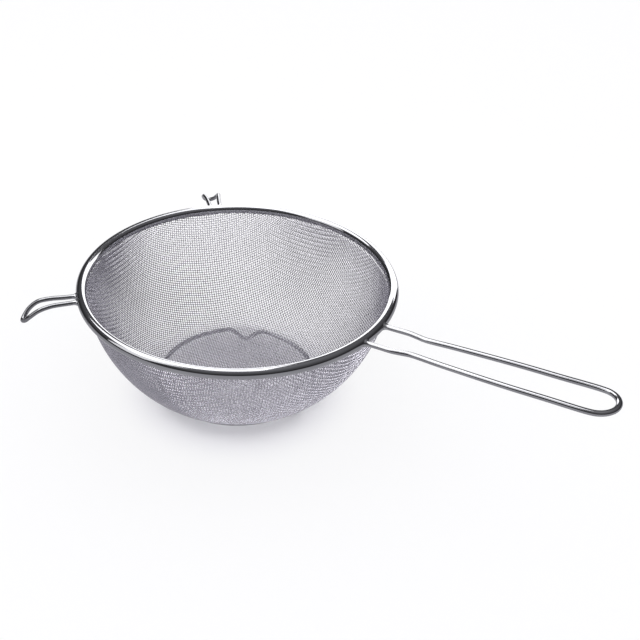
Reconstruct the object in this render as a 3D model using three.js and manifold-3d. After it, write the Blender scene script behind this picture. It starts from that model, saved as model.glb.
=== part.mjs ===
// Kitchen strainer of polished stainless steel: a bowl of woven wire mesh held by a rolled rim, a long wire
// handle, two wire rest hooks and a bent wire foot. Every joint is a weld, so nothing moves.
// Millimetres, +Z up. The handle points along +X and the foot stands on the plane Z = 0.
import * as THREE from 'three';
import { mergeVertices } from 'three/addons/utils/BufferGeometryUtils.js';
import Module from 'manifold-3d';

const wasm = await Module();
wasm.setup();

// Gap left between two pieces that meet
const seatGap = 0.25;

// Rim: a strip rolled into a round hollow bead, open along one slit that grips the edge of the mesh
const rimRadius = 100;
const beadDiameter = 6.4;
const stripThickness = 0.6;
const slitBearing = 232;
const meshGrip = 0.9;

// Bowl: part of a sphere with a flat bottom and a rounded corner between them
const meshThickness = 0.7;
const bowlCentreRise = 7.2;
const bowlDepth = 71.2;
const standHeight = 8.8;
const cornerRadius = 10;
const meshNeck = 1.2;

// Openings of the bowl: a coarse square grid pressed into it, turned against the handle as the weave is
const gridAcross = 10;
const gridBar = 7.5;
const gridBand = 5;
const gridTurn = -40;

// Handle: one wire bent into a long narrow loop, its two ends welded to the outside of the rim. The slope is
// the rise for each unit of run outwards.
const handleWire = 3.4;
const handleReach = 236;
const handleSlope = 0.1;
const rootHalfWidth = 10.5;
const waistHalfWidth = 8.8;
const gripHalfWidth = 10.9;
const jogStart = 15;
const jogEnd = 26;
const gripStart = 80;

// Rest hooks: two short wire loops at the far side of the rim, bent down at the tip. Each angle is a bearing
// from the handle.
const hookWire = 3;
const hookLeftAngle = -130;
const hookRearAngle = 136;
const hookReach = 34.5;
const hookRootHalfWidth = 3.5;
const hookLoopHalfWidth = 5.3;
const hookDrop = 10;

// Foot: a wire ring under the flat bottom with three bends that come down to the table
const footWire = 2.8;
const footOutset = 1.06;
const footTipInset = 2;
const footShoulder = 1.2;
const footBendAngle = 14;
const footTipFlat = 0.25;
const footCount = 3;

// Welds: a small collar of metal round each wire end at the rim
const weldSpread = 1.3;
const weldLength = 3.2;

// Smoothness of the facets
const turnSegments = 60;
const wireSides = 8;

const rimHeight = standHeight + bowlDepth;
const beadRadius = beadDiameter / 2;
const beadCentreRadius = rimRadius - beadRadius;
const beadInnerRadius = beadRadius - stripThickness;
const degree = Math.PI / 180;

function toSolid(geometry) {
  const bare = geometry.clone();
  bare.deleteAttribute('normal');
  bare.deleteAttribute('uv');
  const merged = mergeVertices(bare, 1e-4);
  const position = merged.getAttribute('position').array;
  const index = merged.getIndex().array;
  const kept = [];
  for (let i = 0; i < index.length; i += 3) {
    const [a, b, c] = [index[i], index[i + 1], index[i + 2]];
    if (a !== b && b !== c && c !== a) {
      kept.push(a, b, c);
    }
  }
  const mesh = new wasm.Mesh({
    numProp: 3,
    vertProperties: new Float32Array(position),
    triVerts: new Uint32Array(kept),
  });
  return new wasm.Manifold(mesh);
}

function toGeometry(solid) {
  const mesh = solid.getMesh();
  const geometry = new THREE.BufferGeometry();
  geometry.setAttribute('position', new THREE.BufferAttribute(new Float32Array(mesh.vertProperties), 3));
  geometry.setIndex(new THREE.BufferAttribute(new Uint32Array(mesh.triVerts), 1));
  geometry.computeVertexNormals();
  return geometry;
}

// A solid turned about the bowl's axis from a closed outline of [radius, height] pairs
function turned(outline, segments) {
  const points = outline.map(([r, z]) => new THREE.Vector2(r, z));
  const lathe = new THREE.LatheGeometry(points, segments);
  lathe.rotateX(Math.PI / 2);
  return lathe;
}

function wireShape(radius) {
  const shape = new THREE.Shape();
  for (let i = 0; i < wireSides; i += 1) {
    const angle = ((i + 0.5) / wireSides) * 2 * Math.PI;
    const x = radius * Math.cos(angle);
    const y = radius * Math.sin(angle);
    if (i === 0) {
      shape.moveTo(x, y);
    } else {
      shape.lineTo(x, y);
    }
  }
  shape.closePath();
  return shape;
}

function wireAlong(curve, radius, steps) {
  return new THREE.ExtrudeGeometry(wireShape(radius), { steps, bevelEnabled: false, extrudePath: curve });
}

// Rim outline: the rolled strip between the two edges of the slit
const slitHalfAngle = Math.asin((meshThickness / 2 + seatGap) / beadInnerRadius);
const slitCentre = slitBearing * degree;

function beadPoint(radius, angle) {
  return [beadCentreRadius + radius * Math.cos(angle), rimHeight + radius * Math.sin(angle)];
}

const stripOutline = [];
const stripSteps = 12;
const stripFrom = slitCentre + slitHalfAngle;
const stripSweep = 2 * Math.PI - 2 * slitHalfAngle;
for (let i = 0; i <= stripSteps; i += 1) {
  stripOutline.push(beadPoint(beadRadius, stripFrom + (stripSweep * i) / stripSteps));
}
for (let i = stripSteps; i >= 0; i -= 1) {
  stripOutline.push(beadPoint(beadInnerRadius, stripFrom + (stripSweep * i) / stripSteps));
}
stripOutline.push(stripOutline[0]);
const rimSolid = toSolid(turned(stripOutline, turnSegments));

// Middle line of the mesh: from the axis over the flat bottom, the corner and the sphere into the slit
const [neckRadius, neckHeight] = beadPoint(beadRadius + meshNeck, slitCentre);
const sphereHeight = rimHeight + bowlCentreRise;
const bowlSphereRadius = Math.hypot(neckRadius, sphereHeight - neckHeight);
const bottomHeight = standHeight;
const cornerHeight = bottomHeight + cornerRadius;
const cornerCentre = Math.sqrt((bowlSphereRadius - cornerRadius) ** 2 - (sphereHeight - cornerHeight) ** 2);
const cornerTurn = Math.atan2(cornerCentre, sphereHeight - cornerHeight);
const neckTurn = Math.atan2(neckRadius, sphereHeight - neckHeight);

function meshOutline(offset) {
  const line = [[0, bottomHeight + offset]];
  const cornerSteps = 3;
  for (let i = 0; i <= cornerSteps; i += 1) {
    const turn = (cornerTurn * i) / cornerSteps;
    const reach = cornerRadius - offset;
    line.push([cornerCentre + reach * Math.sin(turn), cornerHeight - reach * Math.cos(turn)]);
  }
  const wallSteps = 5;
  for (let i = 1; i <= wallSteps; i += 1) {
    const turn = cornerTurn + ((neckTurn - cornerTurn) * i) / wallSteps;
    const reach = bowlSphereRadius - offset;
    line.push([reach * Math.sin(turn), sphereHeight - reach * Math.cos(turn)]);
  }
  const tipRadius = beadInnerRadius - meshGrip;
  const across = slitCentre - Math.PI / 2;
  const [tipX, tipZ] = beadPoint(tipRadius, slitCentre);
  line.push([tipX + offset * Math.cos(across), tipZ + offset * Math.sin(across)]);
  return line;
}

const meshInside = meshOutline(meshThickness / 2);
const meshOutside = meshOutline(-meshThickness / 2);
const bowlShell = toSolid(turned([...meshOutside, ...meshInside.reverse()], turnSegments));

// Lengths along the middle line from the axis to the foot of the wall and to the neck
const wallStart = cornerCentre + cornerRadius * cornerTurn;
const meshReach = wallStart + bowlSphereRadius * (neckTurn - cornerTurn);

// A place on the mesh, from flat grid coordinates laid along its surface, and an offset towards the inside
function gridPoint(x, y, offset) {
  const along = Math.hypot(x, y);
  const bearing = Math.atan2(y, x) + gridTurn * degree;
  let radius = along;
  let height = bottomHeight + offset;
  if (along > wallStart) {
    const turn = cornerTurn + (along - wallStart) / bowlSphereRadius;
    radius = (bowlSphereRadius - offset) * Math.sin(turn);
    height = sphereHeight - (bowlSphereRadius - offset) * Math.cos(turn);
  } else if (along > cornerCentre) {
    const turn = (along - cornerCentre) / cornerRadius;
    radius = cornerCentre + (cornerRadius - offset) * Math.sin(turn);
    height = cornerHeight - (cornerRadius - offset) * Math.cos(turn);
  }
  return [radius * Math.cos(bearing), radius * Math.sin(bearing), height];
}

// One opening: a square block that follows the mesh and stands out of it on both sides
const gridPitch = (2 * meshReach) / gridAcross;
const openingHalf = (gridPitch - gridBar) / 2;
const openingDepth = 4 * meshThickness;

function openingBlock(middleX, middleY) {
  const edge = [[-1, -1], [0, -1], [1, -1], [1, 0], [1, 1], [0, 1], [-1, 1], [-1, 0]];
  const count = edge.length;
  const points = [];
  for (const offset of [-openingDepth, openingDepth]) {
    for (const [u, v] of edge) {
      points.push(...gridPoint(middleX + u * openingHalf, middleY + v * openingHalf, offset));
    }
    points.push(...gridPoint(middleX, middleY, offset));
  }
  const faces = [];
  const inner = count + 1;
  for (let i = 0; i < count; i += 1) {
    const next = (i + 1) % count;
    faces.push(count, next, i, inner + count, inner + i, inner + next);
    faces.push(i, next, inner + next, i, inner + next, inner + i);
  }
  const block = new THREE.BufferGeometry();
  block.setAttribute('position', new THREE.BufferAttribute(new Float32Array(points), 3));
  block.setIndex(faces);
  return toSolid(block);
}

// The openings stop below a plain band under the neck, and scraps left there are not cut
const bandHeight = neckHeight - gridBand;
const belowBand = new THREE.BoxGeometry(4 * rimRadius, 4 * rimRadius, 2 * rimHeight);
belowBand.translate(0, 0, bandHeight - rimHeight);
const belowBandSolid = toSolid(belowBand);
const openings = [];
for (let i = 0; i < gridAcross; i += 1) {
  for (let j = 0; j < gridAcross; j += 1) {
    const x = (i + 0.5 - gridAcross / 2) * gridPitch;
    const y = (j + 0.5 - gridAcross / 2) * gridPitch;
    if (Math.hypot(x, y) < meshReach - openingHalf * 0.4) {
      const whole = openingBlock(x, y);
      const kept = whole.intersect(belowBandSolid);
      if (kept.volume() > 0.3 * whole.volume()) {
        openings.push(kept);
      }
    }
  }
}
const bowlSolid = openings.reduce((shell, block) => shell.subtract(block), bowlShell);

// A full round bead a little larger than the rim, used to trim the wire ends to its outer face
const trimOutline = [];
const trimSteps = 16;
for (let i = 0; i <= trimSteps; i += 1) {
  trimOutline.push(beadPoint(beadRadius + seatGap, (2 * Math.PI * (i % trimSteps)) / trimSteps));
}
const beadTrim = toSolid(turned(trimOutline, turnSegments));

// Keeps only what lies outside the bead, so that a wire end never reaches into the hollow
const innerTrimOutline = [
  [0, rimHeight - 4 * beadDiameter],
  [beadCentreRadius, rimHeight - 4 * beadDiameter],
  [beadCentreRadius, rimHeight + 4 * beadDiameter],
  [0, rimHeight + 4 * beadDiameter],
];
const innerTrim = toSolid(turned(innerTrimOutline, turnSegments));

function handleHeight(x) {
  return rimHeight + handleSlope * (x - rimRadius);
}

// Half of the handle loop as [x, half width] stations, root first
const bendCentre = handleReach - handleWire / 2 - gripHalfWidth;
const handleStations = [
  [beadCentreRadius, rootHalfWidth],
  [rimRadius + jogStart * 0.5, rootHalfWidth],
  [rimRadius + jogStart, rootHalfWidth],
  [rimRadius + (jogStart + jogEnd) / 2, (rootHalfWidth + waistHalfWidth) / 2],
  [rimRadius + jogEnd, waistHalfWidth],
  [rimRadius + (jogEnd * 2 + gripStart) / 3, waistHalfWidth + (gripHalfWidth - waistHalfWidth) * 0.45],
  [rimRadius + gripStart, gripHalfWidth],
  [(rimRadius + gripStart + bendCentre) / 2, gripHalfWidth],
];
const bendSteps = 8;
const handlePoints = handleStations.map(([x, y]) => new THREE.Vector3(x, y, handleHeight(x)));
for (let i = 0; i <= bendSteps; i += 1) {
  const angle = Math.PI / 2 - (Math.PI * i) / bendSteps;
  const x = bendCentre + gripHalfWidth * Math.cos(angle);
  handlePoints.push(new THREE.Vector3(x, gripHalfWidth * Math.sin(angle), handleHeight(x)));
}
for (const [x, y] of [...handleStations].reverse()) {
  handlePoints.push(new THREE.Vector3(x, -y, handleHeight(x)));
}
const handleCurve = new THREE.CatmullRomCurve3(handlePoints, false, 'centripetal');
const handleSteps = 84;
const handleFull = toSolid(wireAlong(handleCurve, handleWire / 2, handleSteps));
const handleSolid = handleFull.subtract(beadTrim).subtract(innerTrim);
const handleGrown = toSolid(wireAlong(handleCurve, handleWire / 2 + seatGap, handleSteps));

// One hook lying along +X before it is turned to its place: half of the loop, root first
const hookStations = [
  [0, hookRootHalfWidth, 0],
  [0.27, hookRootHalfWidth * 1.05, 0],
  [0.52, (hookRootHalfWidth + hookLoopHalfWidth) / 2, -0.01],
  [0.72, hookLoopHalfWidth, -0.16],
  [0.87, hookLoopHalfWidth * 0.92, -0.52],
  [0.96, hookLoopHalfWidth * 0.55, -0.86],
];
const hookSpan = hookReach + beadRadius - hookWire / 2;
const hookPoints = hookStations.map(
  ([t, y, drop]) => new THREE.Vector3(beadCentreRadius + t * hookSpan, y, rimHeight + drop * hookDrop),
);
hookPoints.push(new THREE.Vector3(beadCentreRadius + hookSpan, 0, rimHeight - hookDrop));
for (const [t, y, drop] of [...hookStations].reverse()) {
  hookPoints.push(new THREE.Vector3(beadCentreRadius + t * hookSpan, -y, rimHeight + drop * hookDrop));
}

function hookCurve(bearing) {
  const axis = new THREE.Vector3(0, 0, 1);
  const points = hookPoints.map((p) => p.clone().applyAxisAngle(axis, bearing * degree));
  return new THREE.CatmullRomCurve3(points, false, 'centripetal');
}

const hookSteps = 40;

function hookSolid(bearing) {
  const wire = toSolid(wireAlong(hookCurve(bearing), hookWire / 2, hookSteps));
  return wire.subtract(beadTrim).subtract(innerTrim);
}

// A weld collar: a cone that spreads against the bead, with room for the wire through it
function weldSolid(bearing, side, halfWidth, wireDiameter, grown) {
  const wide = wireDiameter / 2 + seatGap + weldSpread;
  const slim = wireDiameter / 2 + seatGap + weldSpread * 0.35;
  const start = Math.sqrt(beadCentreRadius ** 2 - halfWidth ** 2);
  const length = beadRadius + weldLength;
  const cone = new THREE.CylinderGeometry(slim, wide, length, 12);
  cone.rotateZ(-Math.PI / 2);
  cone.translate(start + length / 2, side * halfWidth, rimHeight);
  cone.rotateZ(bearing * degree);
  return toSolid(cone).subtract(beadTrim).subtract(innerTrim).subtract(grown);
}

// Foot: the ring lies under the rim of the flat bottom, with a rounded bend down at each of the feet
const footRingRadius = cornerCentre + footOutset;
const footTipRadius = footRingRadius - footTipInset;
const footRingHeight = bottomHeight - meshThickness / 2 - seatGap - footWire / 2;
const footTipHeight = footWire / 2 - footTipFlat;

class FootCurve extends THREE.Curve {
  getPoint(t, target = new THREE.Vector3()) {
    const bearing = t * 2 * Math.PI;
    const pitch = (2 * Math.PI) / footCount;
    const apart = Math.abs(bearing - pitch * Math.round(bearing / pitch)) / (footBendAngle * degree);
    const bend = apart < 1 ? (1 + Math.cos(Math.PI * apart)) / 2 : 0;
    const lift = apart < 2 ? Math.sin((Math.PI * apart) / 2) ** 2 : 0;
    const radius = footRingRadius + footShoulder * lift + (footTipRadius - footRingRadius) * bend;
    const height = footRingHeight + (footTipHeight - footRingHeight) * bend;
    return target.set(radius * Math.cos(bearing), radius * Math.sin(bearing), height);
  }
}

const footTube = new THREE.TubeGeometry(new FootCurve(), 102, footWire / 2, wireSides, true);
const floorBox = new THREE.BoxGeometry(4 * footRingRadius, 4 * footRingRadius, 2 * footWire);
floorBox.translate(0, 0, -footWire);
const footSolid = toSolid(footTube).subtract(toSolid(floorBox));

const hookLeftWire = toSolid(wireAlong(hookCurve(hookLeftAngle), hookWire / 2 + seatGap, hookSteps));
const hookRearWire = toSolid(wireAlong(hookCurve(hookRearAngle), hookWire / 2 + seatGap, hookSteps));

const polishedSteel = { color: 0xc9c9cf, roughness: 0.18, metalness: 1 };
const wovenSteel = { color: 0xb9b9c1, roughness: 0.38, metalness: 1 };
const weldSteel = { color: 0xb4b4ba, roughness: 0.34, metalness: 1 };

const pieces = [
  ['rim', rimSolid, polishedSteel],
  ['mesh_bowl', bowlSolid, wovenSteel],
  ['handle_wire', handleSolid, polishedSteel],
  ['hook_left', hookSolid(hookLeftAngle), polishedSteel],
  ['hook_rear', hookSolid(hookRearAngle), polishedSteel],
  ['foot_wire', footSolid, polishedSteel],
  ['handle_weld_left', weldSolid(0, 1, rootHalfWidth, handleWire, handleGrown), weldSteel],
  ['handle_weld_right', weldSolid(0, -1, rootHalfWidth, handleWire, handleGrown), weldSteel],
  ['hook_left_weld_a', weldSolid(hookLeftAngle, 1, hookRootHalfWidth, hookWire, hookLeftWire), weldSteel],
  ['hook_left_weld_b', weldSolid(hookLeftAngle, -1, hookRootHalfWidth, hookWire, hookLeftWire), weldSteel],
  ['hook_rear_weld_a', weldSolid(hookRearAngle, 1, hookRootHalfWidth, hookWire, hookRearWire), weldSteel],
  ['hook_rear_weld_b', weldSolid(hookRearAngle, -1, hookRootHalfWidth, hookWire, hookRearWire), weldSteel],
];

// The origin lies on the standing plane, under the middle of the box round the whole strainer
const strainer = new THREE.Group();
strainer.name = 'mesh_strainer';
const outerBox = new THREE.Box3();
for (const [name, solid, look] of pieces) {
  const mesh = new THREE.Mesh(toGeometry(solid), new THREE.MeshStandardMaterial(look));
  mesh.name = name;
  mesh.geometry.computeBoundingBox();
  outerBox.union(mesh.geometry.boundingBox);
  strainer.add(mesh);
}
const middle = outerBox.getCenter(new THREE.Vector3());
for (const mesh of strainer.children) {
  mesh.geometry.translate(-middle.x, -middle.y, 0);
}

export default strainer;
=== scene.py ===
"""Mesh strainer: smooth rim, wires and welds, and a bowl of real woven wire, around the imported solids."""

import math

import bpy
import numpy as np
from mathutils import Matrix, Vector


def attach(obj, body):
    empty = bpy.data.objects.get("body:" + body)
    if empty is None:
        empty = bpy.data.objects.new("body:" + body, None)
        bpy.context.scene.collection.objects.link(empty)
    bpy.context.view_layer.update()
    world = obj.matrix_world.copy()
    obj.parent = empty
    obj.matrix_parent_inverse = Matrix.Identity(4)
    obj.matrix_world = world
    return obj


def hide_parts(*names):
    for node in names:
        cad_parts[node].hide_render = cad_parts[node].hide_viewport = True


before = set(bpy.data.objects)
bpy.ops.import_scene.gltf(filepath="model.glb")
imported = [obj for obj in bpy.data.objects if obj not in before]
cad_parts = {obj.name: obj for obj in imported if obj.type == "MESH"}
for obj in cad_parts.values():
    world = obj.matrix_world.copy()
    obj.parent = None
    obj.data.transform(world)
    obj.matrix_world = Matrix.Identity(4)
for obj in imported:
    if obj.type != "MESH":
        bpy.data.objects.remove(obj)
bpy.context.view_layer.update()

# Sizes in millimetres, the same as the solids
MM = 0.001
AXIS_X = -67.967
AXIS_Y = 2.047
RIM_RADIUS = 100.0
BEAD_RADIUS = 3.2
STRIP = 0.6
SLIT = math.radians(232)
STAND = 8.8
DEPTH = 71.2
RIM_Z = STAND + DEPTH
BEAD_MID = RIM_RADIUS - BEAD_RADIUS
SPHERE_RISE = 7.2
CORNER = 10.0
NECK = 1.2
HANDLE_WIRE = 3.4
HANDLE_REACH = 236.0
HANDLE_SLOPE = 0.1
ROOT_HALF = 10.5
WAIST_HALF = 8.8
GRIP_HALF = 10.9
HOOK_WIRE = 3.0
HOOK_LEFT = -130.0
HOOK_REAR = 136.0
HOOK_REACH = 34.5
HOOK_ROOT = 3.5
HOOK_LOOP = 5.3
HOOK_DROP = 10.0
FOOT_WIRE = 2.8
FOOT_RING = 51.0
FOOT_TIP = 49.0
FOOT_SHOULDER = 1.2
FOOT_BEND = math.radians(14)
MESH_WIRE = 0.52
MESH_PITCH = 1.65
WEAVE_TURN = math.radians(-39.6)
# The drawn wires are this much thinner, so that a full round stays inside the solids' flats
SKIN = 0.09


# Materials
def steel(name, low, high, rough_low, rough_high, scale, bump, metal=1.0):
    """Steel with slight clouding of colour and polish, and a fine unevenness of the surface."""
    mat = bpy.data.materials.new(name)
    mat.use_nodes = True
    nodes, links = mat.node_tree.nodes, mat.node_tree.links
    shader = nodes["Principled BSDF"]
    shader.inputs["Metallic"].default_value = metal
    where = nodes.new("ShaderNodeTexCoord")
    cloud = nodes.new("ShaderNodeTexNoise")
    cloud.inputs["Scale"].default_value = scale
    cloud.inputs["Detail"].default_value = 3
    links.new(where.outputs["Object"], cloud.inputs["Vector"])
    colour = nodes.new("ShaderNodeValToRGB")
    colour.color_ramp.elements[0].position = 0.3
    colour.color_ramp.elements[0].color = (*low, 1)
    colour.color_ramp.elements[1].position = 0.7
    colour.color_ramp.elements[1].color = (*high, 1)
    links.new(cloud.outputs["Fac"], colour.inputs["Fac"])
    links.new(colour.outputs["Color"], shader.inputs["Base Color"])
    polish = nodes.new("ShaderNodeMapRange")
    polish.inputs["From Min"].default_value = 0.3
    polish.inputs["From Max"].default_value = 0.7
    polish.inputs["To Min"].default_value = rough_low
    polish.inputs["To Max"].default_value = rough_high
    links.new(cloud.outputs["Fac"], polish.inputs["Value"])
    links.new(polish.outputs["Result"], shader.inputs["Roughness"])
    grain = nodes.new("ShaderNodeTexNoise")
    grain.inputs["Scale"].default_value = 420
    grain.inputs["Detail"].default_value = 2
    links.new(where.outputs["Object"], grain.inputs["Vector"])
    relief = nodes.new("ShaderNodeBump")
    relief.inputs["Strength"].default_value = bump
    relief.inputs["Distance"].default_value = 0.0002
    links.new(grain.outputs["Fac"], relief.inputs["Height"])
    links.new(relief.outputs["Normal"], shader.inputs["Normal"])
    return mat


rim_steel = steel("rim_polish", (0.40, 0.40, 0.42), (0.47, 0.47, 0.49), 0.05, 0.11, 40, 0.03)
wire_steel = steel("wire_polish", (0.40, 0.40, 0.42), (0.47, 0.47, 0.49), 0.06, 0.13, 60, 0.03)
# The hooks' steel is drawn darker than the handle's: painted shade for the dark surroundings they reflect
hook_steel_painted_shade = steel("hook_polish_painted_shade", (0.26, 0.26, 0.275), (0.34, 0.34, 0.355), 0.06, 0.13, 60, 0.03)
# The foot's steel is drawn darker too: painted shade for the shade under the bowl where it is seen through
# the mesh
foot_steel_painted_shade = steel("foot_polish_painted_shade", (0.30, 0.30, 0.32), (0.38, 0.38, 0.40), 0.12, 0.20, 60, 0.05)
# The weave's base carries a faint lavender tint: a painted reflection of lavender surroundings seen in and
# through the mesh
weave_steel = steel("weave_wire", (0.42, 0.408, 0.455), (0.50, 0.488, 0.535), 0.12, 0.20, 90, 0.02, 0.75)
weld_steel = steel("weld_metal", (0.46, 0.46, 0.48), (0.56, 0.56, 0.58), 0.14, 0.30, 300, 0.12)


# Helpers that make meshes and wires
def add_piece(name, verts, faces, mat, node, sharp=None):
    mesh = bpy.data.meshes.new(name)
    placed = (np.asarray(verts, float) + (0, AXIS_Y, 0)) * MM
    mesh.from_pydata(placed.tolist(), [], [tuple(f) for f in faces])
    mesh.polygons.foreach_set("use_smooth", [True] * len(mesh.polygons))
    if sharp:
        mesh.set_sharp_from_angle(angle=math.radians(sharp))
    mesh.materials.append(mat)
    mesh.update()
    piece = bpy.data.objects.new(name, mesh)
    bpy.context.scene.collection.objects.link(piece)
    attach(piece, "root")
    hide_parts(node)
    return piece


def grid_faces(rows, cols, start=0, wrap_rows=False):
    """Quads of a rows by cols grid whose columns close on themselves."""
    i = np.arange(rows if wrap_rows else rows - 1)[:, None]
    j = np.arange(cols)[None]
    a = i * cols + j
    b = i * cols + (j + 1) % cols
    c = ((i + 1) % rows) * cols + (j + 1) % cols
    d = ((i + 1) % rows) * cols + j
    return (np.stack([a, b, c, d], -1).reshape(-1, 4) + start).tolist()


def turned(profile, segments):
    """A ring turned about the bowl's axis from a closed profile of (radius, height)."""
    profile = np.asarray(profile, float)
    angle = np.linspace(0, 2 * np.pi, segments, endpoint=False)
    r, z = profile[:, 0], profile[:, 1]
    verts = np.stack(
        [AXIS_X + np.outer(np.cos(angle), r), np.outer(np.sin(angle), r), np.tile(z, (segments, 1))], -1
    ).reshape(-1, 3)
    return verts, grid_faces(segments, len(profile), wrap_rows=True)


def smooth_path(points, count, closed=False):
    """Points spaced evenly along a centripetal spline through the given ones."""
    points = np.asarray(points, float)
    if closed:
        p = np.asarray([points[-1], *points, points[0], points[1]])
    else:
        p = np.asarray([2 * points[0] - points[1], *points, 2 * points[-1] - points[-2]])
    line = []
    for k in range(1, len(p) - 2):
        p0, p1, p2, p3 = p[k - 1 : k + 3]
        t0 = 0.0
        t1 = t0 + math.sqrt(np.linalg.norm(p1 - p0))
        t2 = t1 + math.sqrt(np.linalg.norm(p2 - p1))
        t3 = t2 + math.sqrt(np.linalg.norm(p3 - p2))
        t = np.linspace(t1, t2, 24, endpoint=False)[:, None]
        a1 = (t1 - t) / (t1 - t0) * p0 + (t - t0) / (t1 - t0) * p1
        a2 = (t2 - t) / (t2 - t1) * p1 + (t - t1) / (t2 - t1) * p2
        a3 = (t3 - t) / (t3 - t2) * p2 + (t - t2) / (t3 - t2) * p3
        b1 = (t2 - t) / (t2 - t0) * a1 + (t - t0) / (t2 - t0) * a2
        b2 = (t3 - t) / (t3 - t1) * a2 + (t - t1) / (t3 - t1) * a3
        line.append((t2 - t) / (t2 - t1) * b1 + (t - t1) / (t2 - t1) * b2)
    line = np.concatenate([*line, p[-2][None]])
    run = np.concatenate([[0], np.cumsum(np.linalg.norm(np.diff(line, axis=0), axis=1))])
    at = np.linspace(0, run[-1], count, endpoint=not closed)
    return np.stack([np.interp(at, run, line[:, k]) for k in range(3)], -1)


def tube(path, radius, sides, closed=False):
    """A round wire along a path, with flat ends unless it closes."""
    path = np.asarray(path, float)
    if closed:
        tangent = np.roll(path, -1, 0) - np.roll(path, 1, 0)
    else:
        tangent = np.gradient(path, axis=0)
    tangent /= np.linalg.norm(tangent, axis=1)[:, None]
    up = np.array([0.0, 0.0, 1.0])
    side = np.cross(tangent, up)
    side /= np.linalg.norm(side, axis=1)[:, None]
    rise = np.cross(side, tangent)
    turn = np.linspace(0, 2 * np.pi, sides, endpoint=False)
    ring = np.cos(turn)[None, :, None] * side[:, None] + np.sin(turn)[None, :, None] * rise[:, None]
    verts = (path[:, None] + radius * ring).reshape(-1, 3)
    faces = grid_faces(len(path), sides, wrap_rows=closed)
    faces = [f[::-1] for f in faces]
    if not closed:
        last = (len(path) - 1) * sides
        faces += [list(range(sides)), [last + k for k in range(sides - 1, -1, -1)]]
    return verts, faces


# Rim
def bead(radius, angle):
    return BEAD_MID + radius * math.cos(angle), RIM_Z + radius * math.sin(angle)


gap = math.asin(0.6 / (BEAD_RADIUS - STRIP))
sweep = np.linspace(SLIT + gap, SLIT + 2 * math.pi - gap, 44)
edge = BEAD_RADIUS - STRIP / 2
rounding = (0.8, 1.57, 2.34)
profile = [bead(BEAD_RADIUS - 0.01, a) for a in sweep]
profile += [bead(edge + STRIP / 2 * math.cos(t), sweep[-1] + 0.12 * math.sin(t)) for t in rounding]
profile += [bead(BEAD_RADIUS - STRIP, a) for a in sweep[::-3]]
profile += [bead(edge - STRIP / 2 * math.cos(t), sweep[0] - 0.12 * math.sin(t)) for t in rounding]
verts, faces = turned(profile, 288)
rim_piece = add_piece("rim_bead", verts, faces, rim_steel, "rim", sharp=50)


# Handle, hooks and foot
def handle_z(x):
    return RIM_Z + HANDLE_SLOPE * (x - RIM_RADIUS)


def bead_start(half, wire):
    """Where a wire end meets the outside of the bead, measured along the wire from the bowl's axis."""
    return math.sqrt(BEAD_MID**2 - half**2) + math.sqrt(max(BEAD_RADIUS**2 - (wire / 2) ** 2, 0)) - 0.1


stations = [
    (bead_start(ROOT_HALF, HANDLE_WIRE), ROOT_HALF),
    (RIM_RADIUS + 7.5, ROOT_HALF),
    (RIM_RADIUS + 15, ROOT_HALF),
    (RIM_RADIUS + 20.5, (ROOT_HALF + WAIST_HALF) / 2),
    (RIM_RADIUS + 26, WAIST_HALF),
    (RIM_RADIUS + 44, WAIST_HALF + (GRIP_HALF - WAIST_HALF) * 0.45),
    (RIM_RADIUS + 80, GRIP_HALF),
    ((RIM_RADIUS + 80 + HANDLE_REACH - HANDLE_WIRE / 2 - GRIP_HALF) / 2, GRIP_HALF),
]
bend_x = HANDLE_REACH - HANDLE_WIRE / 2 - GRIP_HALF
points = [(AXIS_X + x, y, handle_z(x)) for x, y in stations]
for turn in np.linspace(math.pi / 2, -math.pi / 2, 9):
    x = bend_x + GRIP_HALF * math.cos(turn)
    points.append((AXIS_X + x, GRIP_HALF * math.sin(turn), handle_z(x)))
points += [(AXIS_X + x, -y, handle_z(x)) for x, y in stations[::-1]]
verts, faces = tube(smooth_path(points, 360), HANDLE_WIRE / 2 - SKIN, 24)
add_piece("handle_loop", verts, faces, wire_steel, "handle_wire", sharp=50)

# One half of a hook: share of its reach, distance from its middle line and share of its drop
hook_half = [
    (0, HOOK_ROOT, 0),
    (0.27, HOOK_ROOT * 1.05, 0),
    (0.52, (HOOK_ROOT + HOOK_LOOP) / 2, -0.01),
    (0.72, HOOK_LOOP, -0.16),
    (0.87, HOOK_LOOP * 0.92, -0.52),
    (0.96, HOOK_LOOP * 0.55, -0.86),
]
hook_span = HOOK_REACH + BEAD_RADIUS - HOOK_WIRE / 2


def hook_point(t, y, drop, bearing):
    x = BEAD_MID + t * hook_span
    if t == 0:
        x = bead_start(HOOK_ROOT, HOOK_WIRE)
    c, s = math.cos(bearing), math.sin(bearing)
    return AXIS_X + x * c - y * s, x * s + y * c, RIM_Z + drop * HOOK_DROP


for node, bearing in (("hook_left", math.radians(HOOK_LEFT)), ("hook_rear", math.radians(HOOK_REAR))):
    points = [hook_point(t, y, d, bearing) for t, y, d in hook_half]
    points.append(hook_point(1, 0, -1, bearing))
    points += [hook_point(t, -y, d, bearing) for t, y, d in hook_half[::-1]]
    verts, faces = tube(smooth_path(points, 180), HOOK_WIRE / 2 - SKIN, 20)
    add_piece(node + "_loop", verts, faces, hook_steel_painted_shade, node, sharp=50)

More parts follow.
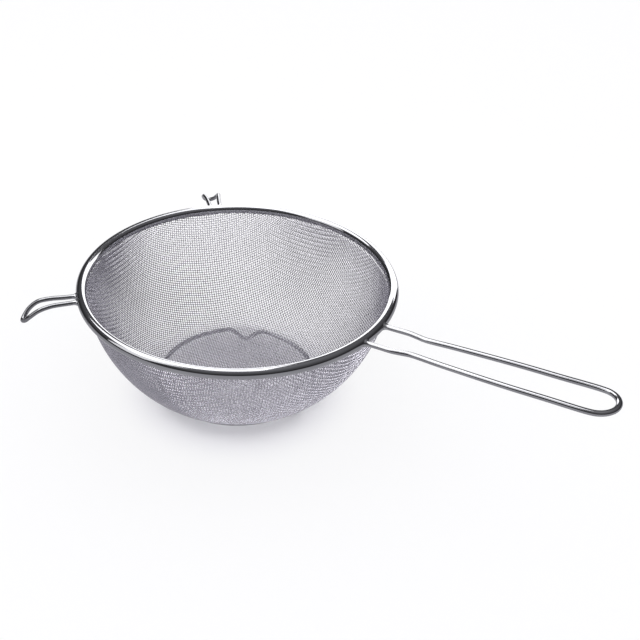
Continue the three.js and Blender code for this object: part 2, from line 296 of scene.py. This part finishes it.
bearing = np.linspace(0, 2 * np.pi, 480, endpoint=False)
third = 2 * np.pi / 3
apart = np.abs(bearing - third * np.round(bearing / third)) / FOOT_BEND
bend = np.where(apart < 1, (1 + np.cos(np.pi * apart)) / 2, 0)
lift = np.where(apart < 2, np.sin(np.pi * apart / 2) ** 2, 0)
radius = FOOT_RING + FOOT_SHOULDER * lift + (FOOT_TIP - FOOT_RING) * bend
ring_z = STAND - 0.35 - 0.25 - FOOT_WIRE / 2
height = ring_z + (FOOT_WIRE / 2 - ring_z) * bend
path = np.stack([AXIS_X + radius * np.cos(bearing), radius * np.sin(bearing), height], -1)
verts, faces = tube(path, FOOT_WIRE / 2, 16, closed=True)
add_piece("foot_ring", verts, faces, foot_steel_painted_shade, "foot_wire")


# Welds
def seed_of(name):
    """A whole number that stays the same for a name, so that each weld keeps its own slight waviness."""
    return sum((k + 1) * ord(c) for k, c in enumerate(name))


def weld(name, node, bearing, y, wire, slope):
    """A fillet that runs from the wire down on to the round of the bead."""
    spokes, steps = 40, 9
    wave = np.random.default_rng(seed_of(name)).normal(0, 0.05, spokes)
    verts = []
    for k in range(steps):
        u = k / (steps - 1)
        out = wire / 2 - 0.05 + 1.15 * (1 - u) ** 2.2
        for a in range(spokes):
            turn = 2 * math.pi * a / spokes
            reach = out + wave[a] * (1 - u)
            across, rise = y + reach * math.cos(turn), reach * math.sin(turn)
            ring = math.sqrt(max((BEAD_RADIUS + 0.03) ** 2 - min(abs(rise), BEAD_RADIUS * 0.93) ** 2, 0))
            foot = math.sqrt((BEAD_MID + ring) ** 2 - across**2)
            x = foot + 2.6 * u**1.3
            z = RIM_Z + rise + slope * (x - RIM_RADIUS)
            c, s = math.cos(bearing), math.sin(bearing)
            verts.append((AXIS_X + x * c - across * s, x * s + across * c, z))
    faces = [f[::-1] for f in grid_faces(steps, spokes)]
    last = (steps - 1) * spokes
    faces += [list(range(spokes)), [last + k for k in range(spokes - 1, -1, -1)]]
    add_piece(name, verts, [f[::-1] for f in faces], weld_steel, node, sharp=60)


weld("weld_handle_left", "handle_weld_left", 0, ROOT_HALF, HANDLE_WIRE, HANDLE_SLOPE)
weld("weld_handle_right", "handle_weld_right", 0, -ROOT_HALF, HANDLE_WIRE, HANDLE_SLOPE)
for node, turn in (("hook_left", math.radians(HOOK_LEFT)), ("hook_rear", math.radians(HOOK_REAR))):
    weld("weld_" + node + "_a", node + "_weld_a", turn, HOOK_ROOT, HOOK_WIRE, 0)
    weld("weld_" + node + "_b", node + "_weld_b", turn, -HOOK_ROOT, HOOK_WIRE, 0)


# Woven bowl
neck_r, neck_z = bead(BEAD_RADIUS + NECK, SLIT)
tip_r, tip_z = bead(BEAD_RADIUS - STRIP - 0.7, SLIT)
sphere_z = RIM_Z + SPHERE_RISE
sphere = math.hypot(neck_r, sphere_z - neck_z)
corner_z = STAND + CORNER
corner_r = math.sqrt((sphere - CORNER) ** 2 - (sphere_z - corner_z) ** 2)
corner_turn = math.atan2(corner_r, sphere_z - corner_z)
neck_turn = math.atan2(neck_r, sphere_z - neck_z)
LENGTHS = np.cumsum([0, corner_r, CORNER * corner_turn, sphere * (neck_turn - corner_turn)])
END = LENGTHS[3] + math.hypot(tip_r - neck_r, tip_z - neck_z)


def meridian(s):
    """Radius, height and their slopes at distance s from the bowl's centre along the mesh."""
    s = np.asarray(s, float)
    r, z, dr, dz = (np.zeros_like(s) for _ in range(4))
    flat = s < LENGTHS[1]
    turn = (s - LENGTHS[1]) / CORNER
    arc = (s >= LENGTHS[1]) & (s < LENGTHS[2])
    wide = corner_turn + (s - LENGTHS[2]) / sphere
    wall = (s >= LENGTHS[2]) & (s < LENGTHS[3])
    tail = s >= LENGTHS[3]
    lean = math.atan2(tip_z - neck_z, tip_r - neck_r)
    r = np.where(flat, s, r)
    z = np.where(flat, STAND, z)
    dr = np.where(flat, 1.0, dr)
    r = np.where(arc, corner_r + CORNER * np.sin(turn), r)
    z = np.where(arc, corner_z - CORNER * np.cos(turn), z)
    dr = np.where(arc, np.cos(turn), dr)
    dz = np.where(arc, np.sin(turn), dz)
    r = np.where(wall, sphere * np.sin(wide), r)
    z = np.where(wall, sphere_z - sphere * np.cos(wide), z)
    dr = np.where(wall, np.cos(wide), dr)
    dz = np.where(wall, np.sin(wide), dz)
    r = np.where(tail, neck_r + (s - LENGTHS[3]) * math.cos(lean), r)
    z = np.where(tail, neck_z + (s - LENGTHS[3]) * math.sin(lean), z)
    dr = np.where(tail, math.cos(lean), dr)
    dz = np.where(tail, math.sin(lean), dz)
    return r, z, dr, dz


def on_bowl(s, phi):
    r, z, _, _ = meridian(s)
    return np.stack([r * np.cos(phi), r * np.sin(phi), z], -1)


# Crossings of one quarter of the cloth: each lies one pitch from its two neighbours
COUNT = int(END / MESH_PITCH) + 14
S = np.full((COUNT, COUNT), np.nan)
PHI = np.full((COUNT, COUNT), np.nan)
line = np.arange(COUNT) * MESH_PITCH
S[:, 0], PHI[:, 0] = line, 0.0
S[0, :], PHI[0, :] = line, math.pi / 2
for total in range(2, 2 * COUNT - 1):
    i = np.arange(max(1, total - COUNT + 1), min(COUNT, total))
    j = total - i
    ready = np.isfinite(S[i - 1, j]) & np.isfinite(S[i, j - 1])
    i, j = i[ready], j[ready]
    if len(i) == 0:
        continue
    a, b = on_bowl(S[i - 1, j], PHI[i - 1, j]), on_bowl(S[i, j - 1], PHI[i, j - 1])
    s = (S[i - 1, j] + S[i, j - 1]) / 2 + 0.6 * MESH_PITCH
    phi = (PHI[i - 1, j] + PHI[i, j - 1]) / 2
    for _ in range(30):
        r, z, dr, dz = meridian(s)
        p = np.stack([r * np.cos(phi), r * np.sin(phi), z], -1)
        along = np.stack([dr * np.cos(phi), dr * np.sin(phi), dz], -1)
        round_ = np.stack([-r * np.sin(phi), r * np.cos(phi), 0 * r], -1)
        f1 = ((p - a) ** 2).sum(-1) - MESH_PITCH**2
        f2 = ((p - b) ** 2).sum(-1) - MESH_PITCH**2
        j11, j12 = 2 * ((p - a) * along).sum(-1), 2 * ((p - a) * round_).sum(-1)
        j21, j22 = 2 * ((p - b) * along).sum(-1), 2 * ((p - b) * round_).sum(-1)
        det = j11 * j22 - j12 * j21
        det = np.where(np.abs(det) < 1e-9, 1e-9, det)
        ds = np.clip((f1 * j22 - f2 * j12) / det, -0.5, 0.5)
        dphi = np.clip((f2 * j11 - f1 * j21) / det, -0.01, 0.01)
        s, phi = s - ds, phi - dphi
    good = (np.hypot(f1, f2) < 0.05) & (s < END + 12) & (s > 0)
    S[i, j] = np.where(good, s, np.nan)
    PHI[i, j] = np.where(good, phi, np.nan)


def crossing(i, j):
    """Place and outward normal at a crossing of the whole cloth, by mirroring the quarter."""
    s, phi = S[np.abs(i), np.abs(j)], PHI[np.abs(i), np.abs(j)]
    r, z, dr, dz = meridian(np.nan_to_num(s))
    cx, sy = np.cos(phi) * np.where(i < 0, -1, 1), np.sin(phi) * np.where(j < 0, -1, 1)
    c, t = math.cos(WEAVE_TURN), math.sin(WEAVE_TURN)
    cx, sy = cx * c - sy * t, cx * t + sy * c
    place = np.stack([r * cx, r * sy, z], -1)
    normal = np.stack([dz * cx, dz * sy, -dr], -1)
    return s, place, normal


def halved(rows):
    """The same run with a point put in the middle of each step."""
    fine = np.empty((2 * len(rows) - 1, 3))
    fine[::2] = rows
    fine[1::2] = (rows[:-1] + rows[1:]) / 2
    return fine


def wires(lengthwise, low, high):
    """Every wire of one family between two indices, bent over and under the other family."""
    verts, faces, start = [], [], 0
    sides = 5
    turn = np.linspace(0, 2 * np.pi, sides, endpoint=False)
    run = np.arange(-COUNT + 1, COUNT)
    for k in range(low, high):
        fixed = np.full_like(run, k)
        s, place, normal = crossing(run, fixed) if lengthwise else crossing(fixed, run)
        ok = np.isfinite(s)
        middle = COUNT - 1
        if not ok[middle] or s[middle] > END:
            continue
        lo = middle
        while lo > 0 and ok[lo - 1] and s[lo] <= END:
            lo -= 1
        hi = middle
        while hi < len(run) - 1 and ok[hi + 1] and s[hi] <= END:
            hi += 1
        if hi - lo < 3:
            continue
        sign = np.where((run + k) % 2 == 0, 1.0, -1.0) * (1 if lengthwise else -1)
        line = (place + normal * (sign * MESH_WIRE * 0.48)[:, None])[lo : hi + 1]
        out = normal[lo : hi + 1]
        reach = s[lo : hi + 1]
        for end, inner in ((0, 1), (-1, -2)):
            if reach[end] > END:
                t = (END - reach[inner]) / (reach[end] - reach[inner])
                line[end] = line[inner] + t * (line[end] - line[inner])
        line, out = halved(line), halved(out)
        tangent = np.gradient(line, axis=0)
        tangent /= np.linalg.norm(tangent, axis=1)[:, None]
        side = np.cross(tangent, out)
        side /= np.linalg.norm(side, axis=1)[:, None]
        rise = np.cross(side, tangent)
        ring = np.cos(turn)[None, :, None] * side[:, None] + np.sin(turn)[None, :, None] * rise[:, None]
        body = (line[:, None] + MESH_WIRE / 2 * ring).reshape(-1, 3)
        body[:, 0] += AXIS_X
        verts.append(body)
        n = len(line)
        faces += [f[::-1] for f in grid_faces(n, sides, start)]
        last = start + (n - 1) * sides
        faces += [list(range(start, start + sides)), list(range(last + sides - 1, last - 1, -1))]
        start += n * sides
    return np.concatenate(verts), faces


# Each direction is split in four pieces, so that no piece grows too large
woven = bpy.data.collections.new("woven")
quarters = [round(-COUNT + 1 + (2 * COUNT - 1) * k / 4) for k in range(5)]
for lengthwise, direction in ((True, "long"), (False, "cross")):
    for letter, low, high in zip("abcd", quarters, quarters[1:]):
        verts, faces = wires(lengthwise, low, high)
        name = f"weave_{direction}_{letter}"
        woven.objects.link(add_piece(name, verts, faces, weave_steel, "mesh_bowl"))


# Floor, wall, light and camera
floor_mesh = bpy.data.meshes.new("floor")
floor_mesh.from_pydata([(-3, -3, 0), (3, -3, 0), (3, 3, 0), (-3, 3, 0)], [], [(0, 1, 2, 3)])
floor = bpy.data.objects.new("floor", floor_mesh)
bpy.context.scene.collection.objects.link(floor)
white = bpy.data.materials.new("floor_white")
white.use_nodes = True
white_shader = white.node_tree.nodes["Principled BSDF"]
white_shader.inputs["Roughness"].default_value = 0.9
white_shader.inputs["Specular IOR Level"].default_value = 0.1
white_shader.inputs["Emission Strength"].default_value = 1
# Away from the bowl the floor glows and takes little light, so only the floor under it is shaded
SHADE_RADIUS, GLOW_RADIUS = 0.045, 0.085
FLOOR_LIT, FLOOR_DIM = (0.86, 0.855, 0.885, 1), (0.17, 0.17, 0.177, 1)
FLOOR_DARK, FLOOR_GLOW = (0, 0, 0, 1), (0.775, 0.775, 0.775, 1)
nodes, links = white.node_tree.nodes, white.node_tree.links
floor_point = nodes.new("ShaderNodeTexCoord")
reach = nodes.new("ShaderNodeVectorMath")
reach.operation = "DISTANCE"
reach.inputs[1].default_value = (AXIS_X * MM, AXIS_Y * MM, 0)
links.new(floor_point.outputs["Object"], reach.inputs[0])
away = nodes.new("ShaderNodeMapRange")
away.inputs["From Min"].default_value = SHADE_RADIUS
away.inputs["From Max"].default_value = GLOW_RADIUS
links.new(reach.outputs["Value"], away.inputs["Value"])
for socket, near, far in (
    ("Base Color", FLOOR_LIT, FLOOR_DIM),
    ("Emission Color", FLOOR_DARK, FLOOR_GLOW),
):
    fade = nodes.new("ShaderNodeValToRGB")
    fade.color_ramp.interpolation = "EASE"
    fade.color_ramp.elements[0].color = near
    fade.color_ramp.elements[1].color = far
    links.new(away.outputs["Result"], fade.inputs["Fac"])
    links.new(fade.outputs["Color"], white_shader.inputs[socket])
floor_mesh.materials.append(white)
floor.visible_glossy = False

# A pale wall stands all round for every view; the metal reflects the dim studio behind it instead
WALL_RADIUS, WALL_HEIGHT, WALL_SIDES = 2.9, 3.0, 96
turns = [2 * math.pi * k / WALL_SIDES for k in range(WALL_SIDES)]
wall_verts = [
    (WALL_RADIUS * math.cos(a), WALL_RADIUS * math.sin(a), z) for z in (0, WALL_HEIGHT) for a in turns
]
wall_faces = [
    (k, (k + 1) % WALL_SIDES, WALL_SIDES + (k + 1) % WALL_SIDES, WALL_SIDES + k) for k in range(WALL_SIDES)
]
wall_mesh = bpy.data.meshes.new("wall")
wall_mesh.from_pydata(wall_verts, [], wall_faces)
wall = bpy.data.objects.new("wall", wall_mesh)
bpy.context.scene.collection.objects.link(wall)
wall.visible_glossy = False
pale = bpy.data.materials.new("wall_pale")
pale.use_nodes = True
pale_shader = pale.node_tree.nodes["Principled BSDF"]
pale_shader.inputs["Base Color"].default_value = (0.6, 0.6, 0.62, 1)
pale_shader.inputs["Roughness"].default_value = 0.95
pale_shader.inputs["Emission Color"].default_value = (1, 0.995, 1, 1)
pale_shader.inputs["Emission Strength"].default_value = 0.75
wall_mesh.materials.append(pale)

world = bpy.data.worlds.new("studio")
bpy.context.scene.world = world
world.use_nodes = True
nodes, links = world.node_tree.nodes, world.node_tree.links
sky = nodes["Background"]
where = nodes.new("ShaderNodeTexCoord")
split = nodes.new("ShaderNodeSeparateXYZ")
links.new(where.outputs["Generated"], split.inputs["Vector"])
height = nodes.new("ShaderNodeMapRange")
height.inputs["From Min"].default_value = -1
links.new(split.outputs["Z"], height.inputs["Value"])
ramp = nodes.new("ShaderNodeValToRGB")
ramp.color_ramp.elements[0].position = 0.0
ramp.color_ramp.elements[0].color = (0.55, 0.55, 0.575, 1)
ramp.color_ramp.elements[1].position = 1.0
ramp.color_ramp.elements[1].color = (0.33, 0.33, 0.345, 1)
for spot, value in ((0.45, 0.5), (0.5, 0.04), (0.63, 0.045), (0.785, 0.13), (0.91, 0.2)):
    stop = ramp.color_ramp.elements.new(spot)
    stop.color = (value, value, value * 1.05, 1)
links.new(height.outputs["Result"], ramp.inputs["Fac"])
links.new(ramp.outputs["Color"], sky.inputs["Color"])
sky.inputs["Strength"].default_value = 1.0

RIM_CENTRE = Vector((AXIS_X * MM, AXIS_Y * MM, RIM_Z * MM))
# The rim's centre and the focal length in pixels of the square picture
PICTURE_PIXELS = 640
FOCAL_PIXELS = 943
RIM_PIXEL_X = 237.2
RIM_PIXEL_Y = 279.9
DISTANCE = 0.590
ELEVATION = math.radians(31.6)
AZIMUTH = math.radians(-53.0)
camera_data = bpy.data.cameras.new("camera")
camera = bpy.data.objects.new("camera", camera_data)
bpy.context.scene.collection.objects.link(camera)
level = math.cos(ELEVATION)
towards = Vector((math.cos(AZIMUTH) * level, math.sin(AZIMUTH) * level, math.sin(ELEVATION)))
camera.location = RIM_CENTRE + DISTANCE * towards
camera.rotation_euler = (-towards).to_track_quat("-Z", "Y").to_euler()
camera_data.sensor_width = 36
camera_data.lens = FOCAL_PIXELS / PICTURE_PIXELS * camera_data.sensor_width
camera_data.shift_x = 0.5 - RIM_PIXEL_X / PICTURE_PIXELS
camera_data.shift_y = RIM_PIXEL_Y / PICTURE_PIXELS - 0.5
camera_data.clip_start = 0.01
bpy.context.scene.camera = camera


BOWL = (-0.068, 0, 0.06)


def lamp(name, place, target, size, power):
    """An area light of the given size in metres that faces its target, in watts."""
    data = bpy.data.lights.new(name, "AREA")
    data.shape = "RECTANGLE"
    data.size, data.size_y = size
    data.energy = power
    light = bpy.data.objects.new(name, data)
    bpy.context.scene.collection.objects.link(light)
    light.location = place
    light.rotation_euler = (Vector(target) - Vector(place)).to_track_quat("-Z", "Y").to_euler()
    return light


def around(azimuth, elevation, distance):
    """A place at the given direction and distance from the bowl, in degrees and metres."""
    az, el = math.radians(azimuth), math.radians(elevation)
    flat = distance * math.cos(el)
    return (BOWL[0] + flat * math.cos(az), BOWL[1] + flat * math.sin(az), BOWL[2] + distance * math.sin(el))


def behind(depth, right, height):
    """A place behind the bowl as the camera sees it, in metres from the bowl's axis."""
    far, side = AZIMUTH + math.pi, AZIMUTH + math.pi / 2
    return (
        BOWL[0] + depth * math.cos(far) + right * math.cos(side),
        BOWL[1] + depth * math.sin(far) + right * math.sin(side),
        height,
    )


# One wide light makes the floor bright; the others are there to be seen in the metal
overhead = lamp("overhead", (-0.07, 0, 1.7), (-0.07, 0, 0), (3.2, 3.2), 33)
overhead.visible_glossy = False
# The front panel is for the weave alone, as the rim and the wires stay dark on that side.
# The right one carries the back panel on for the rim alone, as the handle keeps a dark upper edge.
beaded = bpy.data.collections.new("beaded")
beaded.objects.link(rim_piece)
for name, place, target, size, power, lit in (
    ("softbox_high", behind(0.2, -0.2, 0.62), behind(0.15, -0.2, 0), (0.6, 0.6), 3.0, None),
    ("panel_left", around(-128, 40, 1.4), BOWL, (0.8, 1.2), 4.3, None),
    ("panel_back", behind(0.45, 0.07, 0.23), behind(0, 0.07, 0.23), (0.26, 0.34), 0.75, None),
    ("panel_front", around(-53, 8, 1.2), BOWL, (1.6, 0.4), 17, woven),
    ("panel_right", behind(0.45, 0.34, 0.23), behind(0, 0.34, 0.23), (0.28, 0.34), 0.8, beaded),
):
    light = lamp(name, place, target, size, power)
    light.visible_diffuse = False
    light.visible_camera = False
    if lit:
        light.light_linking.receiver_collection = lit

bpy.context.scene.view_settings.view_transform = "Standard"
